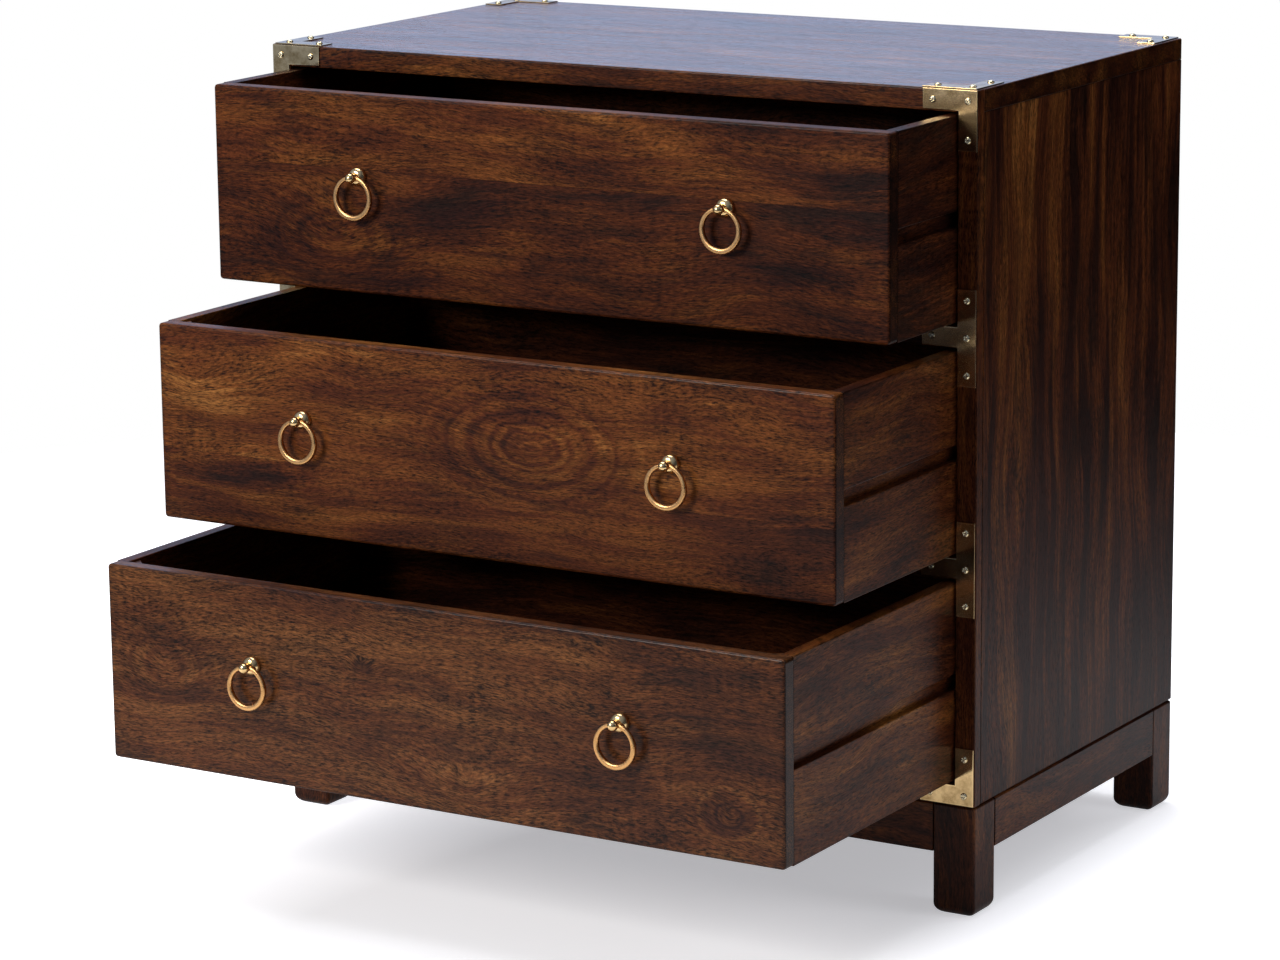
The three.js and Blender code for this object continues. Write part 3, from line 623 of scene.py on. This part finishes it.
class CHEST_OT_drawers(Operator):
    """Three drawers: fronts with glue blocks, grooved sides, backs and bottoms"""
    bl_idname = "chest.drawers"
    bl_label = "Drawers"

    def execute(self, context):
        edge, corner = sizes("front_edge"), sizes("front_corner")
        # The last mark of each front darkens its right end in a broad soft gradient
        fronts = {
            "top": stained_wood(
                "top front", "XZY", (0, -653, 0), joins=((137, 0.14),), tone=-0.11, curl=0.35, figure=0.88,
                lacquer=0.015,
                marks=((-265, 62, 130, 70, 30, -0.04, 0.11), (-140, 95, 90, 40, 10, -0.3, 0),
                       (400, 150, 240, 130, 0, -0.4, 0))),
            "middle": stained_wood(
                "middle front", "XZY", (0, -403, 40), joins=((80, 0.12),), curl=0.5, figure=0.88, lacquer=0.09,
                marks=((60, 128, 160, 84, 34, -0.1, 0.17), (-380, 150, 160, 60, 30, 0.2, 0),
                       (-330, 60, 140, 36, 6, -0.22, 0.1), (400, 60, 190, 110, 0, -0.32, 0))),
            "bottom": stained_wood(
                "bottom front", "XZY", (40, -153, 140), tone=-0.02, curl=0.6, figure=0.66, lacquer=0.14,
                fibres=1.25, palette=("heartwood", "dull_wood", "dull_light", "dusty_wood"),
                marks=((-48, 146, 26, 14, 12, -0.35, 0.2), (-310, 113, 90, 60, 16, -0.05, 0.12),
                       (80, 38, 130, 50, 22, 0.12, 0.1), (400, 48, 52, 40, 12, -0.12, 0.2),
                       (420, 150, 200, 110, 0, -0.2, 0))),
        }
        # Painted shade: the top drawer's sides are 0.25 darker, as they stand in shadow, and the bottom drawer's a
        # little lighter, as they catch light from the floor
        sides = {drawer: stained_wood(f"{drawer} drawer sides", "YZX", (30, 210, 15), tone=tone, curl=0.3,
                                      lacquer=0.01)
                 for drawer, tone in zip(DRAWERS, (-0.25, 0.0, 0.02))}
        # Painted shade: the drawers' insides are 0.12 darker, for the shade deep inside a drawer
        inner = stained_wood("drawer insides", "XZY", (70, 15, 130), tone=-0.12, curl=0.3)
        groove_depth, groove_height, slit_depth, sunk, block_drop = 8.0, 17.0, 5.0 + PLAY, 1.0, 2.5
        for drawer in DRAWERS:
            body = f"{drawer}_drawer"
            low, high = cad_box(f"{body}_front")
            side_low, _ = cad_box(f"{body}_right_side")
            panel_low, panel_high = cad_box(f"{body}_bottom")
            panel_low, panel_high = panel_low[2] - PLAY, panel_high[2] + PLAY
            inside = side_low[1] - GAP
            shells = [bar(box_corners(low, high, "y"), "y", low[1], inside, soft=(edge, 0.2), radius=corner,
                          fade=9.0)]
            # A three-cornered glue block stands in each inside corner, sunk in the front
            block = high[1] - inside
            for _, side in SIDES:
                wall = side * (side_low[0] - GAP)
                corners = [(wall, inside - sunk), (wall, inside + block), (wall - side * block, inside),
                           (wall - side * block, inside - sunk)]
                shells.append(bar(corners, "z", panel_high, high[2] - block_drop, soft=(0.5, 1.0), radius=0.4,
                                  fade=3.0))
            piece(f"{drawer}_front", shells, fronts[drawer], f"{body}_front", body=body)

            for place, side in SIDES:
                node = f"{body}_{place}_side"
                low, high = cad_box(node)
                outer, wall = (low[0], high[0]) if side < 0 else (high[0], low[0])
                roof = cad_box(f"{drawer}_{place}_runner")[1][2] + PLAY
                step, floor, slit = outer - side * groove_depth, roof - groove_height, wall + side * slit_depth
                outline = [(wall, low[2]), (outer, low[2]), (outer, floor), (step, floor), (step, roof),
                           (outer, roof), (outer, high[2]), (wall, high[2]), (wall, panel_high),
                           (slit, panel_high), (slit, panel_low), (wall, panel_low)]
                board = bar(outline, "y", low[1], high[1], soft=(0.15, 0.6), radius=0.9, fade=2.2)
                piece(f"{drawer}_{place}_board", [board], sides[drawer], node, body)
            for part, name in (("back", "rear"), ("bottom", "tray")):
                board = plank(f"{body}_{part}", "x", soft=(0.5, 0.5), radius=0.8, fade=2.0)
                piece(f"{drawer}_{name}", [board], inner, f"{body}_{part}", body)
        return {"FINISHED"}


class CHEST_OT_plates(Operator):
    """Brass angle and tee plates, with cross-headed screws"""
    bl_idname = "chest.plates"
    bl_label = "Brass plates"

    def screw(self, at, facing, turn):
        """A pan head of radius R and height h over a square grid (a, b) drawn into the circle by
        (a sqrt(1 - b b / 2 R R), b sqrt(1 - a a / 2 R R)). At share s of the radius its top stands at
        h (1 - 0.3 s^2 - 0.5 s^8), less a cross with sloping walls."""
        radius, height, foot_depth = 3.9, sizes("screw_height"), 0.3
        arm, half_slot, depth, slope = 2.25, 0.6, 1.3, 0.12
        tick = np.array([0, 0.3, 0.48, 0.72, 1.1, 1.55, 2.05, 2.45, 2.8, 3.15, 3.45, 3.7, radius])
        tick = np.concatenate([-tick[:0:-1], tick])
        a, b = np.meshgrid(tick, tick, indexing="ij")

        def inside(value, half):
            return np.clip((half + slope - np.abs(value)) / (2 * slope), 0, 1)

        cross = np.maximum(inside(a, half_slot) * inside(b / arm, 1.0), inside(b, half_slot) * inside(a / arm, 1.0))
        x, y = a * np.sqrt(1 - (b / radius) ** 2 / 2), b * np.sqrt(1 - (a / radius) ** 2 / 2)
        share = np.hypot(x, y) / radius
        rise = height * (1 - 0.3 * share ** 2 - 0.5 * share ** 8) - depth * cross
        count = len(tick)
        order = np.arange(count * count).reshape(count, count)
        rim = np.concatenate([order[0, :-1], order[:-1, -1], order[-1, :0:-1], order[:0:-1, 0]])
        x, y, rise = x.ravel(), y.ravel(), rise.ravel()
        x, y = np.concatenate([x, x[rim]]), np.concatenate([y, y[rim]])
        rise = np.concatenate([rise, np.full(len(rim), -foot_depth)])
        cos, sin = math.cos(turn), math.sin(turn)
        across, up = x * cos - y * sin, x * sin + y * cos
        shape = (at[0] + across, at[1] - rise, at[2] + up) if facing == "front" else (
            at[0] + across, at[1] + up, at[2] + rise)
        foot = count * count + np.arange(len(rim))
        skirt = np.stack([rim, np.roll(rim, -1), np.roll(foot, -1), foot], -1)
        faces = [*grid_quads(count, count), *skirt, foot]
        edge = np.concatenate([-0.6 * cross.ravel(), np.zeros(len(rim))])
        return np.stack(shape, -1) * MM, faces, edge

    def execute(self, context):
        brass = aged_sheet_brass()
        screws = polished_turned_brass("Turned brass screws", "screw_brass", dullness=0.08)
        sheet = sizes("plate_thickness")
        top, back = cad_box("top_board")[1][2], cad_box("top_board")[1][1]
        front = cad_box("right_stile")[0][1]
        at_front, at_top = front - GAP - sheet, top + GAP + sheet
        # How far the plates reach from the middle on the front and on the top, their width, the length of an
        # arm, half the height of a tee, and how far a screw stands from an end
        front_reach, top_reach, width, arm, tee, end = 449.0, 447.0, 22.0, 64.0, 52.0, 12.0
        # Where the angle plates start under the top, behind the front and before the back edge, and where the
        # screws of the first two are set out from
        under_top, behind_front, before_back, screws_under, screws_behind = 0.4, 0.8, 3.0, 1.0, 3.0
        levels = {"front": ("y", at_front, front - GAP, (0.3, 0.1)), "top": ("z", top + GAP, at_top, (0.1, 0.3))}

        def plate(name, node, *sheets):
            """A node's sheets of brass, each as (facing, outline, places of its screws), and the screws, each
            with its cross turned by its own part of a quarter turn."""
            plates = [bar(outline, *levels[facing], radius=0.5, fade=1.5) for facing, outline, _ in sheets]
            piece(f"{name}_sheet", plates, brass, node)
            heads = [((a, at_front, b) if facing == "front" else (a, b, at_top), facing)
                     for facing, _, places in sheets for a, b in places]
            turns = np.modf(np.arange(1, len(heads) + 1) * 0.618 + sum(map(ord, name)) * 0.37)[0] * math.pi / 2
            shells = [self.screw(*head, turn) for head, turn in zip(heads, turns)]
            piece(f"{name}_screws", shells, screws, node)

        def angle(facing, x, y, line, along, up):
            """An angle plate from its outer corner (x, y), with its screws set out from (x, line)."""
            outline = [(x, y), (x + along * arm, y), (x + along * arm, y + up * width),
                       (x + along * width, y + up * width), (x + along * width, y + up * arm), (x, y + up * arm)]
            near, far = width / 2, arm - end
            return facing, outline, [(x + along * near, line + up * near), (x + along * far, line + up * near),
                                     (x + along * near, line + up * far)]

        for place, side in SIDES:
            x, x_top = side * front_reach, side * top_reach
            plate(f"front_{place}_corner", f"front_{place}_corner_plate",
                  angle("front", x, top - under_top, top - screws_under, -side, -1),
                  angle("top", x_top, front + behind_front, front + screws_behind, -side, 1))
            plate(f"back_{place}_corner", f"back_{place}_top_plate",
                  angle("top", x_top, back - before_back, back - before_back, -side, -1))
            foot = cad_box(f"{place}_bottom_plate")[0][2]
            plate(f"{place}_bottom_corner", f"{place}_bottom_plate", angle("front", x, foot, foot, -side, 1))
            for name in ("upper", "lower"):
                node = f"{place}_{name}_tee_plate"
                low, high = cad_box(node)
                middle, half = (low[2] + high[2]) / 2, width / 2
                inner, tip, line = x - side * width, x - side * arm, x - side * half
                outline = [(x, middle - tee), (x, middle + tee), (inner, middle + tee), (inner, middle + half),
                           (tip, middle + half), (tip, middle - half), (inner, middle - half),
                           (inner, middle - tee)]
                plate(f"{place}_{name}_tee", node, ("front", outline, [
                    (line, middle + tee - end), (line, middle), (line, middle - tee + end),
                    (tip + side * end, middle)]))
        return {"FINISHED"}


class CHEST_OT_pulls(Operator):
    """Six ring pulls, each a turned post with a ring through it"""
    bl_idname = "chest.pulls"
    bl_label = "Ring pulls"
    hole_at = 11.8  # the ring's hole, in millimetres before the drawer front

    def rose(self, x, face, z):
        """The rose: a rim of radius 10.8, then a dome, r = 4.4 + 6.4 cos a at 1 + 7.2 sin a from the face, up to
        the neck."""
        a = np.linspace(0, math.pi / 2, 14)
        dome = np.stack([4.4 + 6.4 * np.cos(a), 1.0 + 7.2 * np.sin(a)], 1)
        profile = np.concatenate([[(0, GAP), (10.3, GAP), (10.65, 0.35), (10.8, 0.6)], dome, [(0, 8.2)]])
        profile[:, 1] = face - profile[:, 1]
        return turned(profile, x, z)

    def eye(self, x, face, z):
        """The neck and ball nose with their cross hole, as a closed band round the hole's line. With p the
        distance from that line and u the turn round it, the outside is the larger of the ball's
        p = c cos u + sqrt(c c cos u cos u - c c + R R - x x) and the neck's p = sqrt(N N - x x) / |sin u|, cut off
        in the rose and in the ball. The inside is p = H. Both meet at x = +-w(u)."""
        rose_at, ball_at, ball, neck, hole = 7.6, 15.5, 5.8, 4.8, 3.3
        c = ball_at - self.hole_at
        u = np.linspace(0, 2 * math.pi, 72, endpoint=False)[:, None]
        cos, sin = np.cos(u), np.sin(u)
        half = np.sqrt(np.maximum(ball ** 2 - (hole * cos - c) ** 2 - (hole * sin) ** 2,
                                  neck ** 2 - (hole * sin) ** 2))
        across = half * np.sin(np.linspace(-math.pi / 2, math.pi / 2, 25))
        root = (c * cos) ** 2 - c ** 2 + ball ** 2 - across ** 2
        on_ball = c * cos + np.sqrt(np.maximum(root, 0))
        limit = np.where(cos > 0, c, self.hole_at - rose_at) / np.maximum(np.abs(cos), 1e-3)
        on_neck = np.minimum(np.sqrt(np.maximum(neck ** 2 - across ** 2, 0)) / np.maximum(np.abs(sin), 1e-3), limit)
        outside = np.maximum(np.maximum(on_ball, on_neck), hole)
        inside_across = half * np.linspace(1, -1, 9)[1:-1]
        span = np.concatenate([across, inside_across], 1)
        reach = np.concatenate([outside, np.full(inside_across.shape, hole)], 1)
        points = np.stack([x + span, face - self.hole_at - reach * cos, z + reach * sin], -1) * MM
        faces = list(grid_quads(*span.shape, close_rows=True, close_columns=True))
        return points.reshape(-1, 3), faces, np.zeros(span.size)

    def nut(self, x, back, z):
        """A washer and a six-sided nut on the inside of the drawer front."""
        washer, nut, foot, seat, end = 5.0, 4.4, back + 0.2, back + 0.9, back + 2.7
        disc = turned([(0, foot), (washer, foot), (washer, seat), (0, seat)], x, z, 32)
        turn = np.arange(6) * math.pi / 3
        hexagon = np.stack([x + nut * np.cos(turn), z + nut * np.sin(turn)], 1)
        return [disc, bar(hexagon, "y", seat + 0.05, end, soft=(0.2, 0.4), radius=0.3, fade=0.6)]

    def ring(self, x, face, z):
        """A ring whose outer edge is a circle of radius R about a middle R - w0 under the hole's line. At turn u
        from its top the wire's half width is w = w0 + (w1 - w0)(1 - cos u) / 2, its middle is at R - w, and its
        section is |a|^n + |b|^n = 1 with n = 3.2, flatter than round."""
        top, foot = sizes("ring_top_wire"), sizes("ring_foot_wire")
        outer, power, turns, sides = 25.0, 2 / 3.2, 112, 28
        u = np.linspace(0, 2 * math.pi, turns, endpoint=False)[:, None]
        v = np.linspace(0, 2 * math.pi, sides, endpoint=False)
        wire = top + (foot - top) * (1 - np.cos(u)) / 2
        a = np.sign(np.cos(v)) * np.abs(np.cos(v)) ** power
        b = np.sign(np.sin(v)) * np.abs(np.sin(v)) ** power
        reach = outer - wire + wire * a
        points = np.stack([x + reach * np.sin(u), face - self.hole_at + wire * b,
                           z - (outer - top) + reach * np.cos(u)], -1) * MM
        faces = list(grid_quads(turns, sides, close_rows=True, close_columns=True))
        return points.reshape(-1, 3), faces, np.zeros(turns * sides)

    def execute(self, context):
        brass = polished_turned_brass("Polished turned brass", "polished_brass")
        satin = polished_turned_brass("Satin brass of the rings", "ring_brass", dullness=0.12)
        for drawer in DRAWERS:
            face = cad_box(f"{drawer}_drawer_front")[0][1]
            back = cad_box(f"{drawer}_drawer_right_side")[0][1] - GAP
            for place, _ in SIDES:
                pull = f"{drawer}_{place}_pull"
                low, high = cad_box(f"{pull}_post")
                x, z = (low[0] + high[0]) / 2, (low[2] + high[2]) / 2
                post = [self.rose(x, face, z), self.eye(x, face, z), *self.nut(x, back, z)]
                piece(f"{drawer}_{place}_post", post, brass, f"{pull}_post", f"{drawer}_drawer")
                piece(f"{drawer}_{place}_ring", [self.ring(x, face, z)], satin, f"{pull}_ring",
                      f"{pull}_ring")
        return {"FINISHED"}


class CHEST_OT_studio(Operator):
    """Floor, background, lamps and camera"""
    bl_idname = "chest.studio"
    bl_label = "Studio"

    def lamp(self, name, at, aim, size, power, colour):
        data = bpy.data.lights.new(name, "AREA")
        data.shape, data.size, data.size_y, data.energy = "RECTANGLE", size[0], size[1], power
        data.color = linear(colour)[:3]
        lamp = bpy.data.objects.new(name, data)
        bpy.context.scene.collection.objects.link(lamp)
        lamp.location = at
        lamp.rotation_euler = (Vector(aim) - Vector(at)).to_track_quat("-Z", "Y").to_euler()

    def execute(self, context):
        studio = context.scene.chest_studio
        sides = 96
        turn = np.linspace(0, 2 * math.pi, sides, endpoint=False)
        rim = np.stack([studio.paper_reach * np.cos(turn), studio.paper_reach * np.sin(turn), 0 * turn], -1)
        mesh = bpy.data.meshes.new("studio_paper")
        mesh.from_pydata(rim.tolist(), [], [list(range(sides))])
        mesh.materials.append(studio_paper())
        floor = bpy.data.objects.new("studio_paper", mesh)
        context.scene.collection.objects.link(floor)

        self.lamp("key", (-1.5, -3.8, 2.3), (0, 0, 0.45), (1.5, 1.5), studio.key_power, "#fffaf4")
        self.lamp("side", (4.6, 0.6, 2.4), (0, 0, 0.4), (1.6, 2.4), studio.side_power, "#fbfcff")
        self.lamp("over", (-0.6, 0.4, 4.2), (0, 0, 0.4), (3.0, 3.0), studio.top_power, "#fbfcff")

        # The background is white to the camera, and lights the chest evenly and weakly. Reflections see a dim
        # room in it, with a bright wall behind the chest, a card before it at the left, a cloth over it and a
        # black flag behind it at the right, each by its direction, the cosines where it starts and is full, and
        # its strength at both
        world = bpy.data.worlds.new("studio")
        context.scene.world = world
        world.use_nodes = True
        world.node_tree.nodes.clear()
        add = partial(add_node, world.node_tree)
        way = add("TexCoord").outputs["Generated"]
        room = 0.0
        for toward, start, full, dim, bright in (((-0.471, 0.774, 0.423), 0.8, 0.995, 0.1, 1.2),
                                                 ((-0.53, -0.84, -0.1), 0.75, 0.95, 0.0, 0.36),
                                                 ((-0.3, -0.5, 0.81), 0.2, 0.9, 0.0, 0.5),
                                                 ((0.437, 0.873, -0.211), 0.55, 0.85, 0.0, -0.1)):
            facing = add("VectorMath", (way, toward), operation="DOT_PRODUCT").outputs["Value"]
            room = add("Math", (room, add("MapRange", (facing, start, full, dim, bright))), operation="ADD")
        ray = add("LightPath")
        seen = add("Math", (ray.outputs["Is Glossy Ray"], ray.outputs["Is Transmission Ray"]), operation="MAXIMUM")
        shine = add("Mix", {0: seen, 2: studio.fill_light, 3: room}, data_type="FLOAT")
        strength = add("Mix", {0: ray.outputs["Is Camera Ray"], 2: shine, 3: 1.0}, data_type="FLOAT")
        colour = add("Mix", {0: seen, 6: (1, 1, 1, 1), 7: linear("#c3d7ff")}, data_type="RGBA").outputs[2]
        add("OutputWorld", {"Surface": add("Background", {"Color": colour, "Strength": strength})})

        # The camera: where it stands in metres, its turn from +Y, its dip and its roll in radians
        place, turn, dip, roll = (2.5213, -4.13775, 1.5058), 0.5475, 0.219, -0.0104
        data = bpy.data.cameras.new("camera")
        camera = bpy.data.objects.new("camera", data)
        context.scene.collection.objects.link(camera)
        context.scene.camera = camera
        data.sensor_fit, data.sensor_width, data.lens = "HORIZONTAL", 36.0, studio.lens
        data.clip_end = 100.0
        camera.location = place
        camera.rotation_mode = "QUATERNION"
        camera.rotation_quaternion = (Quaternion((0, 0, 1), turn) @ Quaternion((1, 0, 0), math.pi / 2 - dip)
                                      @ Quaternion((0, 0, 1), roll))
        context.scene.view_settings.view_transform = "Standard"
        return {"FINISHED"}


class CHEST_PT_panel(Panel):
    bl_label = "Campaign chest"
    bl_idname = "CHEST_PT_panel"
    bl_space_type = "VIEW_3D"
    bl_region_type = "UI"
    bl_category = "Chest"

    def draw(self, context):
        layout = self.layout
        for group in (context.scene.chest_sizes, context.scene.chest_colours, context.scene.chest_studio):
            column = layout.column()
            for name in group.__annotations__:
                column.prop(group, name)
        for step in BUILD_STEPS:
            layout.operator(step.bl_idname)


BUILD_STEPS = (CHEST_OT_studio, CHEST_OT_carcass, CHEST_OT_base, CHEST_OT_drawers, CHEST_OT_plates, CHEST_OT_pulls)
SETTINGS = (("chest_sizes", ChestSizes), ("chest_colours", ChestColours), ("chest_studio", ChestStudio))


def register():
    for name, group in SETTINGS:
        bpy.utils.register_class(group)
        setattr(bpy.types.Scene, name, PointerProperty(type=group))
    for kind in (*BUILD_STEPS, CHEST_PT_panel):
        bpy.utils.register_class(kind)


def unregister():
    for kind in (CHEST_PT_panel, *reversed(BUILD_STEPS)):
        bpy.utils.unregister_class(kind)
    for name, group in reversed(SETTINGS):
        delattr(bpy.types.Scene, name)
        bpy.utils.unregister_class(group)


def main():
    register()
    bpy.ops.chest.studio()
    bpy.ops.chest.carcass()
    bpy.ops.chest.base()
    bpy.ops.chest.drawers()
    bpy.ops.chest.plates()
    bpy.ops.chest.pulls()


if __name__ == "__main__":
    main()
